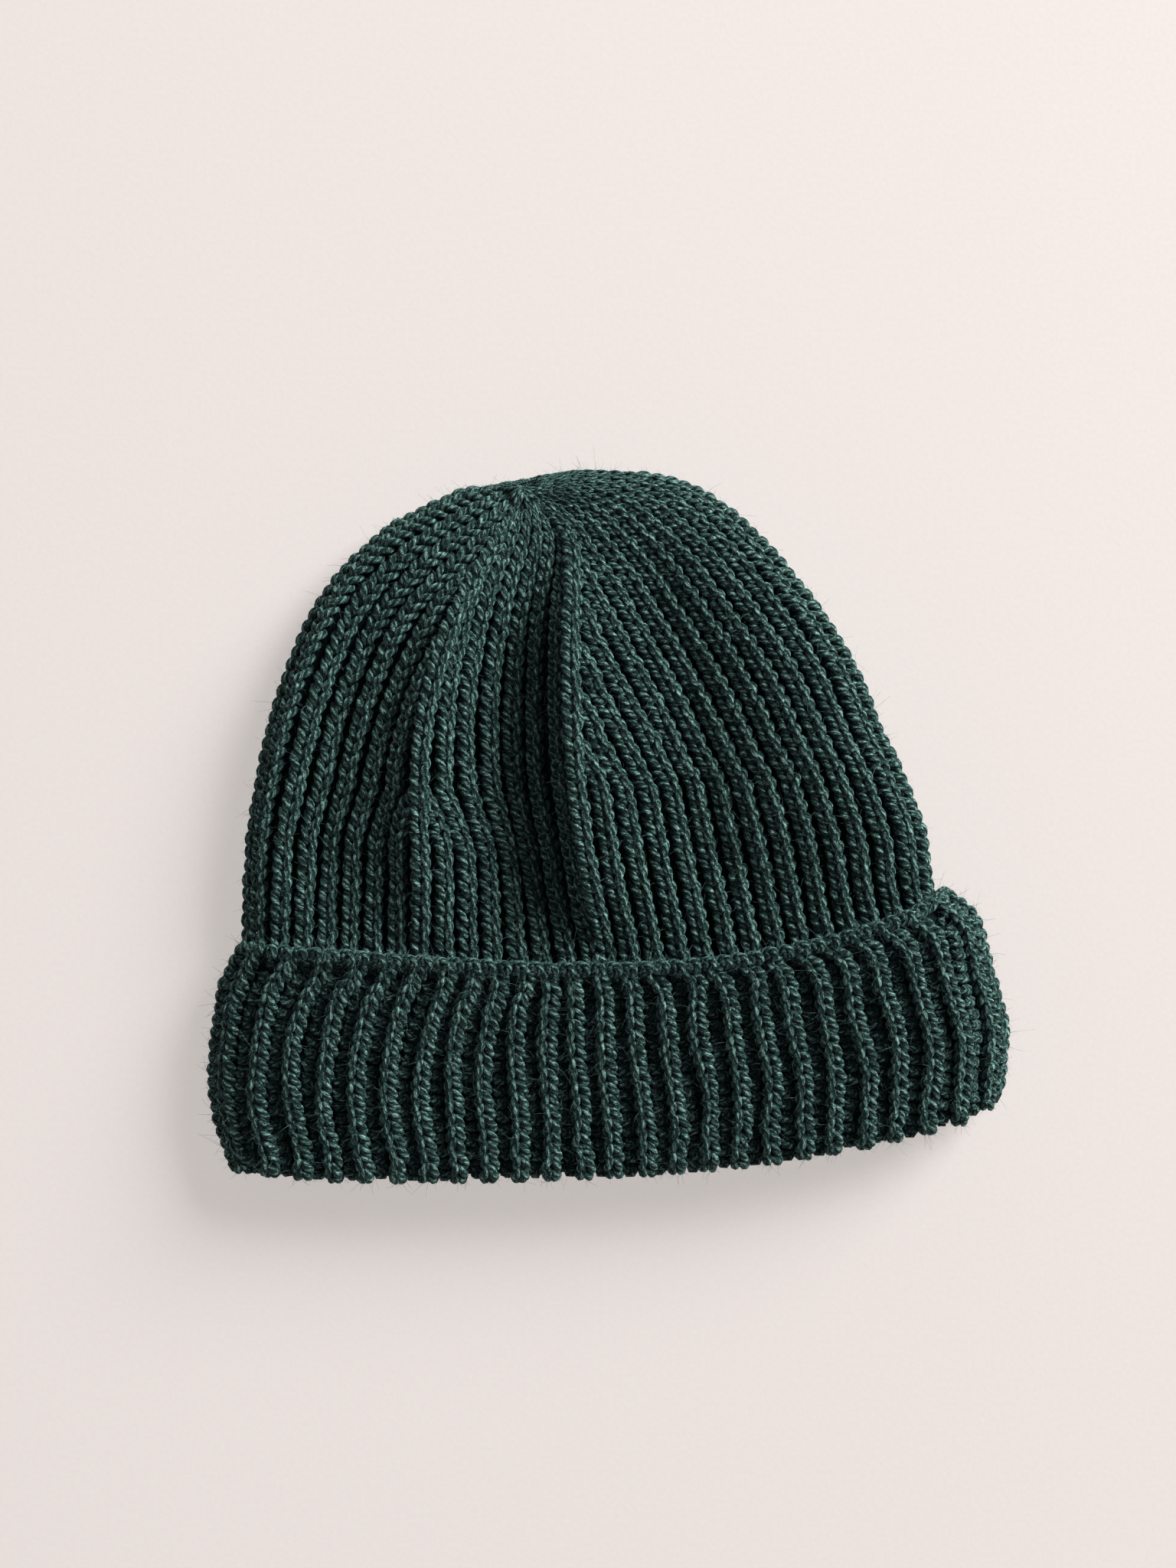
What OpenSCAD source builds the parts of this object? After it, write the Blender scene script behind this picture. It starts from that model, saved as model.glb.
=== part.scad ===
// Rib-knit beanie with a turned-up cuff, lying flat on its back.
// +X is to the right, +Y runs towards the crown and +Z is up, away from the surface it lies on.
// The origin is under the middle of the beanie, on that surface.

/* [Beanie] */
// Width across the turned-up cuff, laid flat
hat_w = 235; // [200:1:260]
// Length from the bottom fold to the crown, with the cuff turned up
hat_h = 205; // [180:1:230]
// Height of the highest part of the crown above the surface
crown_rise = 25; // [20:1:32]

/* [Knit fabric] */
// Thickness of one layer of the ribbed fabric
fabric_t = 3.5; // [2.8:0.1:4.2]
// Air between two layers that move apart
layer_gap = 0.3; // [0.2:0.05:0.5]
// Free height inside the head opening
head_gap = 8; // [6:0.5:12]
// How far a decrease ridge stands above the fabric round it
ridge_rise = 2.2; // [1:0.1:3]

/* [Crown] */
// Radius of the drawn-in closing at the crown
gather_r = 6; // [5:0.5:8]
// Thickness of the yarn that draws the crown closed
yarn_d = 2; // [1.2:0.1:2.4]

/* [Hidden] */

knit_colour = [0.12, 0.23, 0.22];
edge_colour = [0.20, 0.36, 0.34];
yarn_colour = [0.16, 0.30, 0.28];

// Heights of the layers under the cuff, from the surface up
back_cuff_top = fabric_t;
back_body_base = back_cuff_top + layer_gap;
back_body_top = back_body_base + fabric_t;
front_body_top = back_body_top + head_gap + fabric_t;
front_cuff_top = front_body_top + layer_gap + fabric_t;

// Height of the turning lines of the two halves of the cuff
front_turn_z = front_cuff_top + layer_gap / 2;
back_turn_z = back_cuff_top + layer_gap / 2;

// Stations from the mouth to the crown, as shares of hat_w and hat_h from the middle of the beanie:
// left x, left y, right x, right y, bow of the row, height at the middle as a share of crown_rise,
// and how square the row's section is
body_stations = [
    [-0.452, -0.482,  0.462, -0.385,  0.000, 0.750,  7],
    [-0.448, -0.320,  0.440, -0.225, -0.032, 0.775,  7],
    [-0.436, -0.172,  0.398, -0.094, -0.062, 0.825,  7],
    [-0.452, -0.110,  0.394, -0.050, -0.059, 0.885,  6.5],
    [-0.446, -0.050,  0.386, -0.015, -0.052, 0.940,  6],
    [-0.427,  0.075,  0.355,  0.095, -0.030, 1.000,  5],
    [-0.386,  0.240,  0.296,  0.234,  0.000, 0.970,  4],
    [-0.310,  0.374,  0.225,  0.352,  0.012, 0.860,  4],
    [-0.197,  0.461,  0.144,  0.447,  0.016, 0.680,  4],
    [-0.055,  0.499,  0.021,  0.498,  0.001, 0.480,  4]
];
mouth_end = 0;
cuff_end = 2;
crown_end = len(body_stations) - 1;

// The same for the outside of the cuff, from the bottom fold to its free edge
cuff_stations = [
    [-0.476, -0.485,  0.493, -0.383,  0.000, 0.750, 10],
    [-0.499, -0.375,  0.499, -0.290, -0.025, 0.780, 10],
    [-0.488, -0.250,  0.477, -0.195, -0.045, 0.820, 10],
    [-0.475, -0.208,  0.462, -0.130, -0.056, 0.840, 10],
    [-0.457, -0.171,  0.424, -0.094, -0.064, 0.860, 10]
];
free_edge = len(cuff_stations) - 1;
edge_start = free_edge - 0.3;

// How much further right than left a row's bow is deepest
row_skew = 0.55;
// Bow of the bottom fold below the straight turning line
fold_bow = 0.064;

// Decrease lines of the front, as places across the row (-1 left edge, 1 right edge) at each body station
left_line = [-0.52, -0.50, -0.48, -0.48, -0.48, -0.49, -0.46, -0.42, -0.30, -0.10];
centre_line = [0.10, 0.07, 0.05, 0.03, 0.02, -0.01, 0.05, 0.07, 0.06, 0.02];
// The same for the back, where the gores are even
back_left_line = [for (s = [0:crown_end]) -0.34];
back_right_line = [for (s = [0:crown_end]) 0.34];

// Where the crown is drawn closed: station and place across the row
gather_station = 8.2;
gather_place = -0.30;

body_rows = 26;
cuff_rows = 10;
full_columns = 26;

// ---------------------------------------------------------------- curves

function clamp01(x) = min(max(x, 0), 1);
function ease(x) = let (c = clamp01(x)) c * c * (3 - 2 * c);

// Smooth curve through four neighbouring values, between the middle two
function cubic(a, b, c, d, t) =
    0.5 * (2 * b + (c - a) * t + (2 * a - 5 * b + 4 * c - d) * t * t + (3 * b - a - 3 * c + d) * t * t * t);

// Value of a list of numbers or vectors at a place between its entries
function along(list, s) =
    let (last = len(list) - 1, i = min(max(floor(s), 0), last - 1))
    cubic(list[max(i - 1, 0)], list[i], list[i + 1], list[min(i + 2, last)], s - i);

// Place in the plane at u across the row of station s; the row bows along Y
function row_point(stations, s, u) =
    let (p = along(stations, s), w = (u + 1) / 2)
    [
        (p[0] * (1 - w) + p[2] * w) * hat_w,
        (p[1] * (1 - w) + p[3] * w + p[4] * (1 - u * u) * (1 + row_skew * u)) * hat_h
    ];

// Width of the row at station s
function row_w(stations, s) = let (p = along(stations, s)) norm([(p[2] - p[0]) * hat_w, (p[3] - p[1]) * hat_h]);

// Rise of a row's section, 1 in the middle and 0 at its ends
function section(u, square) = sqrt(max(1 - pow(abs(u), square), 0));

// Share by which a layer's inner face is narrower than its outer face
function inner_share(stations, s) = 1 - 2 * fabric_t / row_w(stations, s);

// ---------------------------------------------------------------- turning lines of the cuff

// Ends of the straight turning line at the bottom of the cuff
turn_left = row_point(cuff_stations, 0, -1);
turn_right = row_point(cuff_stations, 0, 1);
turn_angle = atan2(turn_right[1] - turn_left[1], turn_right[0] - turn_left[0]);
// The back turns a little higher up than the front, round a soft roll
back_turn_shift = 5;
back_roll_r = back_turn_z;
// Where the layers of the back start, up from the turning line
back_start = back_turn_shift + back_roll_r + layer_gap;

// ---------------------------------------------------------------- faces of the layers

// The back layer lies on the turned-up cuff near the mouth and on the surface beyond it
function body_base(s) = back_body_base * (1 - ease((s - cuff_end - 0.1) / 0.6));
function body_rim(s) = body_base(s) + fabric_t + 1.2 * ease((s - cuff_end) / 1.5);
function body_top(s) = s <= mouth_end ? front_body_top
    : front_body_top + (along(body_stations, s)[5] - body_stations[0][5]) * crown_rise;

function front_outer(s, u, lift = 0) =
    let (p = row_point(body_stations, s, u), rim = body_rim(s))
    [p[0], p[1], rim + (body_top(s) - rim + lift) * section(u, along(body_stations, s)[6])];

function front_inner(s, u) =
    let (
        p = row_point(body_stations, s, u * inner_share(body_stations, s)),
        rim = body_rim(s)
    )
    [p[0], p[1], rim + (body_top(s) - fabric_t - rim) * section(u, along(body_stations, s)[6])];

// A row's place in the back layer, whose first row runs straight along the bend
function back_place(stations, s, u) = s > 0 ? row_point(stations, s, u)
    : row_point(stations, 0, u) + back_start * [-sin(turn_angle), cos(turn_angle)];

function back_outer(s, u) =
    let (p = back_place(body_stations, s, u), base = body_base(s), rim = body_rim(s) - 0.05)
    [p[0], p[1], base + (rim - base) * (1 - section(u, 30))];

function back_inner(s, u) =
    let (
        p = back_place(body_stations, s, u * inner_share(body_stations, s)),
        floor_z = body_base(s) + fabric_t,
        rim = body_rim(s) - 0.05
    )
    [p[0], p[1], floor_z - 0.05 + (rim - floor_z + 0.05) * (1 - section(u, 12))];

// The outside of the cuff runs down its two side edges to just above the back cuff
function cuff_top_z(s) = front_cuff_top + (along(cuff_stations, s)[5] - cuff_stations[0][5]) * crown_rise;

function cuff_outer(s, u, lift = 0) =
    let (p = row_point(cuff_stations, s, u))
    [p[0], p[1], back_body_base + (cuff_top_z(s) - back_body_base + lift) * section(u, 10)];

function cuff_inner(s, u) =
    let (p = row_point(cuff_stations, s, u * inner_share(cuff_stations, s)))
    [p[0], p[1], back_body_base + (cuff_top_z(s) - fabric_t - back_body_base) * section(u, 10)];

// ---------------------------------------------------------------- solids

// Closed solid between an upper and a lower grid of points of the same size
module layer(upper, lower) {
    rows = len(upper);
    columns = len(upper[0]);
    half = rows * columns;
    function at(i, j) = i * columns + j;
    top_faces = [
        for (i = [0:rows - 2], j = [0:columns - 2]) each [
            [at(i, j), at(i + 1, j), at(i + 1, j + 1)],
            [at(i, j), at(i + 1, j + 1), at(i, j + 1)]
        ]
    ];
    bottom_faces = [for (f = top_faces) [f[2] + half, f[1] + half, f[0] + half]];
    rim = [
        for (j = [0:columns - 1]) at(0, j),
        for (i = [1:rows - 1]) at(i, columns - 1),
        for (j = [columns - 2:-1:0]) at(rows - 1, j),
        for (i = [rows - 2:-1:1]) at(i, 0)
    ];
    side_faces = [
        for (k = [0:len(rim) - 1])
            let (a = rim[k], b = rim[(k + 1) % len(rim)])
            each [[a, b, b + half], [a, b + half, a + half]]
    ];
    polyhedron(
        points = concat([for (row = upper) each row], [for (row = lower) each row]),
        faces = concat(top_faces, bottom_faces, side_faces),
        convexity = 8
    );
}

// Places across a row from a to b, closer together towards the side edges
function across(a, b, n) = [for (j = [0:n]) sin(asin(a) + (asin(b) - asin(a)) * j / n)];

// Stations from a to b
function stations_between(a, b, n) = [for (i = [0:n]) a + (b - a) * i / n];

// One gore: the part of a layer between two decrease lines
module gore(line_a, line_b, front) {
    seam = 0.0004;
    columns = full_columns / 2;
    stations = concat(mouth_end, stations_between(0.45, crown_end, body_rows));
    upper = [
        for (s = stations) [
            for (u = across(along(line_a, s) + seam, along(line_b, s) - seam, columns))
                front ? front_outer(s, u) : back_inner(s, u)
        ]
    ];
    lower = [
        for (s = stations) [
            for (u = across(along(line_a, s) + seam, along(line_b, s) - seam, columns))
                front ? front_inner(s, u) : back_outer(s, u)
        ]
    ];
    layer(upper, lower);
}

left_edge = [for (s = [0:crown_end]) -0.9999];
right_edge = [for (s = [0:crown_end]) 0.9999];

// Raised cord of stitches that lies along a decrease line
module decrease_ridge(line, from, to) {
    half_w = 0.028;
    stations = stations_between(from, to, 18);
    places = [-1, -0.5, 0, 0.5, 1];
    upper = [
        for (s = stations) [
            for (k = places)
                front_outer(s, along(line, s) + half_w * k) + [0, 0, 0.25 + ridge_rise * (1 - k * k * 0.9)]
        ]
    ];
    lower = [
        for (s = stations) [for (k = places) front_outer(s, along(line, s) + half_w * k) + [0, 0, 0.2]]
    ];
    layer(upper, lower);
}

// Place and tilt of the drawn-in closing
gather_at = front_outer(gather_station, gather_place);
gather_ahead = front_outer(gather_station + 0.2, gather_place);
gather_side = front_outer(gather_station, gather_place + 0.1);
gather_normal = cross(gather_side - gather_at, gather_ahead - gather_at);
gather_tilt = acos(gather_normal[2] / norm(gather_normal));
gather_turn = atan2(gather_normal[1], gather_normal[0]);

module at_gather() {
    translate(gather_at)
        rotate([0, gather_tilt, gather_turn])
            children();
}

module gather_hole() {
    at_gather()
        cylinder(r = gather_r, h = 60, center = true, $fn = 48);
}

module front_left_gore() {
    color(knit_colour)
        difference() {
            gore(left_edge, left_line, true);
            gather_hole();
        }
}

module front_middle_gore() {
    color(knit_colour)
        difference() {
            gore(left_line, centre_line, true);
            gather_hole();
        }
}

module front_right_gore() {
    color(knit_colour)
        gore(centre_line, right_edge, true);
}

module back_left_gore() {
    color(knit_colour)
        gore(left_edge, back_left_line, false);
}

module back_middle_gore() {
    color(knit_colour)
        gore(back_left_line, back_right_line, false);
}

module back_right_gore() {
    color(knit_colour)
        gore(back_right_line, right_edge, false);
}

module left_decrease_ridge() {
    color(edge_colour)
        decrease_ridge(left_line, 4.4, 7.7);
}

module centre_decrease_ridge() {
    color(edge_colour)
        decrease_ridge(centre_line, 2.8, 8);
}

// Puckered ring of stitches round the closing
module crown_gather() {
    color(edge_colour)
        at_gather()
            rotate_extrude($fn = 48)
                polygon([
                    [yarn_d * 0.6, -fabric_t + 0.8],
                    [gather_r - 0.1, -fabric_t + 0.8],
                    [gather_r - 0.1, -0.2],
                    [gather_r * 0.62, 0.9],
                    [gather_r * 0.3, 0.4],
                    [yarn_d * 0.6, -0.8]
                ]);
}

// Yarn end drawn through the last stitches, coiled once on the inside
module closing_yarn() {
    color(yarn_colour)
        at_gather()
            translate([0, 0, -fabric_t + 0.7 - yarn_d / 2])
                rotate_extrude($fn = 48)
                    translate([gather_r * 0.5, 0])
                        circle(d = yarn_d, $fn = 24);
}

// Both layers of the bottom edge, from the turning line down to the bottom fold
module front_fold() {
    rows = 8;
    columns = 24;
    reach = 0.93;
    places = [for (j = [0:columns]) -reach + 2 * reach * j / columns];
    function fold_point(k, u) =
        let (p = row_point(cuff_stations, 0, u), drop = fold_bow * k * (1 - u * u) * (1 + row_skew * u) * hat_h)
        [p[0], p[1] - layer_gap - drop];
    function middle_z(u) = (fold_top(u) + fold_bottom(u)) / 2;
    function fold_top(u) = cuff_outer(0, u)[2];
    function fold_bottom(u) = front_inner(0, u)[2];
    function fold_half(k, u) = (fold_top(u) - fold_bottom(u)) / 2 * sqrt(1 - 0.98 * pow(k, 4));
    upper = [
        for (i = [rows:-1:0]) [
            for (u = places) concat(fold_point(i / rows, u), middle_z(u) + fold_half(i / rows, u))
        ]
    ];
    lower = [
        for (i = [rows:-1:0]) [
            for (u = places) concat(fold_point(i / rows, u), middle_z(u) - fold_half(i / rows, u))
        ]
    ];
    color(knit_colour)
        layer(upper, lower);
}

// Round bend in which the back layer turns into the back of the cuff
module back_fold() {
    inset = 8;
    length = norm(turn_right - turn_left) - 2 * inset;
    color(knit_colour)
        translate([turn_left[0], turn_left[1], back_turn_z])
            rotate([0, 0, turn_angle])
                translate([inset, back_turn_shift, 0])
                    rotate([0, 90, 0])
                        cylinder(r = back_roll_r, h = length, $fn = 48);
}

module cuff_front() {
    start = 0.004;
    stations = stations_between(start, edge_start - 0.01, cuff_rows);
    places = across(-0.9999, 0.9999, full_columns);
    color(knit_colour)
        layer(
            [for (s = stations) [for (u = places) cuff_outer(s, u)]],
            [for (s = stations) [for (u = places) cuff_inner(s, u)]]
        );
}

// Face of the flat half of the cuff under the beanie
function back_slab(stations, places, z) =
    [for (s = stations) [for (u = places) concat(back_place(cuff_stations, s, u), z)]];

module cuff_back() {
    stations = concat(0, stations_between(0.75, edge_start - 0.01, cuff_rows));
    places = across(-0.985, 0.985, full_columns / 2);
    color(knit_colour)
        layer(back_slab(stations, places, back_cuff_top), back_slab(stations, places, 0));
}

// Chain of cast-on stitches along the free edge of the cuff
module cast_on_edge_front() {
    bead_rise = 0.7;
    stations = stations_between(edge_start, free_edge, 4);
    places = across(-0.9999, 0.9999, full_columns);
    function bead(s) = bead_rise * sin(180 * (s - edge_start) / (free_edge - edge_start));
    color(edge_colour)
        layer(
            [for (s = stations) [for (u = places) cuff_outer(s, u, bead(s))]],
            [for (s = stations) [for (u = places) cuff_inner(s, u)]]
        );
}

module cast_on_edge_back() {
    stations = stations_between(edge_start, free_edge, 2);
    places = across(-0.985, 0.985, full_columns / 2);
    color(edge_colour)
        layer(back_slab(stations, places, back_cuff_top), back_slab(stations, places, 0));
}

front_left_gore();
front_middle_gore();
front_right_gore();
back_left_gore();
back_middle_gore();
back_right_gore();
left_decrease_ridge();
centre_decrease_ridge();
crown_gather();
closing_yarn();
front_fold();
back_fold();
cuff_front();
cuff_back();
cast_on_edge_front();
cast_on_edge_back();
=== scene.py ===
"""Looks of a rib-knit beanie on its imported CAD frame: every stitch is a loop of plied yarn.

Lengths are in millimetres until a mesh is made. MM turns them into metres at the size of the frame.
"""

import math

import bpy
import numpy as np
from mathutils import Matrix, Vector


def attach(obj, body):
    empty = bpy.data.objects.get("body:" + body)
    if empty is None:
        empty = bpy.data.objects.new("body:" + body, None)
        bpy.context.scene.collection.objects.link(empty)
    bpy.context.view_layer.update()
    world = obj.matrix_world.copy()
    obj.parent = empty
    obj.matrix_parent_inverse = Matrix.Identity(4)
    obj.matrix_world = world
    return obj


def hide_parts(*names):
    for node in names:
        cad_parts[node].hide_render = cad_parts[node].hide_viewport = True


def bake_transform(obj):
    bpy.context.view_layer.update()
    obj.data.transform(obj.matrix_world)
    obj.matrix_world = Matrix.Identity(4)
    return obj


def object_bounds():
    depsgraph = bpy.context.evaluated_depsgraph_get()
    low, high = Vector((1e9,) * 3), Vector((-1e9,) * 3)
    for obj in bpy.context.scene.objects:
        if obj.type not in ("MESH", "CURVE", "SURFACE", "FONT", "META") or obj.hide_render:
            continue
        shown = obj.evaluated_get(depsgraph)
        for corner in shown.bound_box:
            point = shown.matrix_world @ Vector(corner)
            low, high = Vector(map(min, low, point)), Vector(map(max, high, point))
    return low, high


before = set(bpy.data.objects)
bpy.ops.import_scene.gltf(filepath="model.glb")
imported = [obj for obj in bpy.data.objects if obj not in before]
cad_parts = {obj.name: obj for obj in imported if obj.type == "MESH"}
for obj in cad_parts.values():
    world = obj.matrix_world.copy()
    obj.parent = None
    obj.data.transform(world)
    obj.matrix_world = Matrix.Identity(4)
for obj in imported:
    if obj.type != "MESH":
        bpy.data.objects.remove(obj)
cad_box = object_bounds()

# One millimetre in metres, for a hat that lies this many millimetres wide
HAT_W = 234.6
MM = (cad_box[1][0] - cad_box[0][0]) / HAT_W

# ---------------------------------------------------------------- sizes of the knitting

YARN_R = 1.1
BODY_STITCH = 4.0
CUFF_STITCH = 3.6
WALE_W = 5.2
CUFF_WALE_W = 5.0
PURL_W = 3.8
CUFF_RIBS = 25
BACK_WALES = 27
# How far the cuff's purl side lies below its knit side, and the dark ground below the knit side
PURL_DEPTH = 3.2
LINING_DEPTH = 2.5
CUFF_LINING_DEPTH = 3.2
LINING_T = 0.7

# Widest a wale gets, as a share of its pitch
WALE_FILL = 0.9
# The yarn is thinner where a wale is narrower than this share of the full wale, down to its least share
FULL_YARN_AT = 0.8
LEAST_YARN = 0.45

# How uneven the stitches are: shares of their pitch, width and yarn, their lean, and how far they lift
PITCH_SPREAD = 0.03
WIDTH_SPREAD = 0.05
YARN_SPREAD = 0.04
LEAN_SPREAD = 0.05
LIFT_SPREAD = 0.12
# How uneven the columns are: share of their width, and how far the cuff's ribs stray to a side
WALE_WANDER = 0.06
RIB_WANDER = 0.09
RIB_STRAY = 0.45

# Rings and sides of a yarn tube: what the photograph's side shows, and what is mostly hidden
FINE = (20, 8)
PLAIN = (12, 6)

# The chain of cast-on stitches along the free edge
CHAIN_W = 3.6
CHAIN_STITCH = 4.5
CHAIN_RISE = 0.8
# Plies of the yarn, and the length along it in which one ply takes the place of the next
PLIES = 3.0
PLY_PITCH = 2.0
# Loose fibres that stand off the yarn, and how strongly they curl
FIBRES = 14000
FIBRE_R = 0.045
FIBRE_MIN = 1.0
FIBRE_MAX = 3.4
FIBRE_CURL = 0.6

# The crown: the ring that the last stitches are drawn on, how far it lies from the middle of the last row,
# its yarn as a share of the full yarn, and how far it waves up and down as a share of its radius
GATHER_R = 1.3
GATHER_Z = 9.6
GATHER_SHIFT = (0.8, 2.0)
GATHER_YARN = 0.9
GATHER_WAVE = 0.25
# The star of strands over that ring: reach, number, directions in degrees, yarn, height at the ring, arch,
# tilt to the mouth and droop
STAR_R = 7.0
STAR_STRANDS = 11
STAR_FROM = -178
STAR_TO = -2
STAR_YARN = 0.65
STAR_Z = 3.2
STAR_ARCH = 0.9
STAR_TILT = 2.2
STAR_DROOP = 1.5
# The closing yarn's coil inside the crown: turns, inner and outer radius, how far it is below the ring,
# how much it sinks in a radian, and its yarn
COIL_TURNS = 2.1
COIL_R = (1.6, 3.6)
COIL_DROP = 3.4
COIL_SINK = 0.25
COIL_YARN = 0.85

# Colours of the yarn: painted shade between its plies (also its darkest grain), its own colour, painted
# highlights along its fibres; and its sheen's tint
YARN_PLY_SHADE = (0.005, 0.020, 0.018)
MIDDLE_YARN = (0.007, 0.033, 0.030)
YARN_FIBRE_HIGHLIGHT = (0.360, 0.590, 0.550)
YARN_SHEEN = (0.34, 0.75, 0.70)
# Colours of the purl ground and of the floor, and what the floor shines with
DARK_GROUND = (0.008, 0.018, 0.017)
LIGHT_GROUND = (0.018, 0.042, 0.039)
DARK_FLOOR = (0.31, 0.288, 0.280)
LIGHT_FLOOR = (0.33, 0.308, 0.300)
FLOOR_SHINE = (1.0, 0.940, 0.915)

UP = np.array([0.0, 0.0, 1.0])
# Step to either side of a course in which a surface's slope is taken
SMALL = 1e-3

rng = np.random.default_rng(7)

# ---------------------------------------------------------------- curves


def ease(x):
    """Smooth step from 0 to 1 while x goes from 0 to 1."""
    x = np.clip(x, 0, 1)
    return x * x * (3 - 2 * x)


def rise_and_fall(x, start, rise, end, fall):
    """Share that eases from 0 at start to 1 within rise, and from 1 at end back to 0 within fall."""
    return ease((x - start) / rise) * (1 - ease((x - end) / fall))


def curve(table, s):
    """Smooth curve through the rows of a table, at places between them."""
    table = np.asarray(table, float)
    last = len(table) - 1
    s = np.clip(np.asarray(s, float), 0, last)
    i = np.minimum(s.astype(int), last - 1)
    t = s - i
    if table.ndim > 1:
        t = t[..., None]
    a, b = table[np.maximum(i - 1, 0)], table[i]
    c, d = table[i + 1], table[np.minimum(i + 2, last)]
    return 0.5 * (2 * b + (c - a) * t + (2 * a - 5 * b + 4 * c - d) * t**2 + (3 * b - a - 3 * c + d) * t**3)


def unit(v):
    """The same directions with length 1."""
    return v / np.maximum(np.linalg.norm(v, axis=-1, keepdims=True), 1e-9)


def mix(a, b, share):
    """Points between a and b."""
    return a + (b - a) * np.asarray(share)[..., None]


def wander(count, size):
    """A smooth random line of some points that strays from 0 by about size."""
    knots = rng.normal(0, size, 9)
    return curve(knots, np.linspace(0, len(knots) - 1, count))


# ---------------------------------------------------------------- shape of the body

# The left edge, the two decrease lines and the right edge of the front, from the mouth to the crown
LEFT_EDGE = [(-107, -98), (-106, -66), (-105, -34), (-104.5, -12), (-102, 8), (-98.5, 25),
             (-93, 43), (-83, 64.5), (-66, 83), (-45, 95), (-32, 98.3), (-25.8, 97.5)]
LEFT_LINE = [(-50, -94), (-52, -65.5), (-54, -37.5), (-53, -16), (-53.5, 4), (-53, 20),
             (-50.5, 36), (-46, 52), (-39.5, 67), (-31.5, 81), (-26.5, 90.5), (-24.5, 94.2)]
CENTRE_LINE = [(6, -88), (2, -60), (-1, -37), (-5.5, -16), (-8.2, 2), (-10, 19),
               (-10.7, 36), (-11, 52), (-10.5, 67), (-11, 80), (-16.5, 90), (-21.5, 94.6)]
RIGHT_EDGE = [(109, -78), (103, -46), (94, -20), (91.5, -3), (86.5, 11), (79.5, 26),
              (71, 46), (58.5, 65), (42, 84), (22, 98.5), (-4, 102.3), (-20.5, 99.5)]
LINES = [LEFT_EDGE, LEFT_LINE, CENTRE_LINE, RIGHT_EDGE]
CROWN = len(LEFT_EDGE) - 1

# At the same stations: heights of the front and of its edges, squareness of its section, height of the back
FRONT_TOP = [15.0, 15.6, 17.8, 21.8, 23.6, 24.2, 24.2, 23.0, 20.8, 17.3, 14.4, 12.5]
EDGE_RISE = [8.5, 8.5, 7.0, 6.0, 5.5, 5.5, 5.5, 5.5, 5.5, 5.5, 6.5, 11.5]
SQUARENESS = [9, 9, 8, 6, 5, 5, 4.5, 4, 4, 4, 4, 4]
BACK_RISE = [5.4, 5.4, 4.6, 2.3, 2.1, 2.1, 2.1, 2.1, 2.1, 2.3, 4.5, 11.0]

# Soft folds of the front in each zone between its lines: place across the zone, and height
FOLDS = [
    [(0, 0), (0.14, 1.5), (0.3, -3), (0.45, -6), (0.8, -2), (0.94, 3), (1, 3)],
    [(0, 3), (0.15, 0), (0.35, -5), (0.55, -8), (0.68, -7), (0.93, 3), (1, 5.5)],
    [(0, 5.5), (0.1, 3.5), (0.3, -5.5), (0.42, -6), (0.76, 1), (0.91, 3), (1, 0)],
]
LEFT_ZONE, MIDDLE_ZONE, RIGHT_ZONE = range(3)
# From which station and over how many the folds come up above the cuff, and the same for how they fade again
FOLDS_SHOWN = (1.8, 1.4, 6.2, 3.2)
# How far the back's edges stay below the front's, and how sharply they curl up to them
BACK_GAP = 1.2
BACK_CURL = 14


def folds(zone, q, v):
    """Height of the folds at share q across a zone and at station v."""
    places, heights = zip(*FOLDS[zone])
    return np.interp(q, places, heights) * rise_and_fall(v, *FOLDS_SHOWN)


def front_point(zone, q, v, rise=0.0):
    """Point of the front's face at share q across a zone and at station v."""
    left, right = curve(LEFT_EDGE, v), curve(RIGHT_EDGE, v)
    xy = mix(curve(LINES[zone], v), curve(LINES[zone + 1], v), q)
    span = right - left
    u = 2 * ((xy - left) * span).sum(-1) / (span**2).sum(-1) - 1
    rim = curve(EDGE_RISE, v)
    arch = np.sqrt(np.clip(1 - np.abs(u) ** curve(SQUARENESS, v), 0, 1))
    z = rim + (curve(FRONT_TOP, v) - rim) * arch + folds(zone, q, v) + rise
    return np.concatenate([xy, z[..., None]], -1)


def back_point(u, v, rise=0.0):
    """Point of the back's face at place u across the row of station v; its edges curl up to the front's."""
    xy = mix(curve(LEFT_EDGE, v), curve(RIGHT_EDGE, v), (u + 1) / 2)
    base = curve(BACK_RISE, v)
    z = base + (curve(EDGE_RISE, v) - BACK_GAP - base) * np.abs(u) ** BACK_CURL + rise
    return np.concatenate([xy, z[..., None]], -1)


# ---------------------------------------------------------------- shape of the cuff

# From the turning line to the free edge: left x and y, right x and y, bow of the row, height of the front
CUFF_ROWS = [
    (-109.9, -98.8, 113.9, -78.0, 0.0, 20.9),
    (-115.0, -77.0, 115.3, -59.5, -5.1, 21.6),
    (-112.7, -51.3, 110.1, -40.0, -9.2, 22.6),
    (-109.6, -42.6, 106.6, -27.5, -11.5, 23.2),
    (-105.8, -36.0, 98.0, -20.8, -13.1, 23.8),
]
CUFF_END = len(CUFF_ROWS) - 1
# How much more the rows bow on their right half than on their left
ROW_SKEW = 0.55
# The bottom fold: how far it bows out below the turning line, and the radius of its bend
FOLD_BOW = 13.1
FOLD_R = 3.4
# Height of the cuff's ends, and squareness of its section
CUFF_BASE = 4.2
CUFF_SQUARENESS = 10
# The back of the cuff is pressed flat by what lies on it
BACK_CUFF_Z = 1.75
BACK_CUFF_YARN_R = 0.85


def bow(u):
    """Shape of a row's bow at place u from -1 to 1."""
    return (1 - u**2) * (1 + ROW_SKEW * u)


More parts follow.
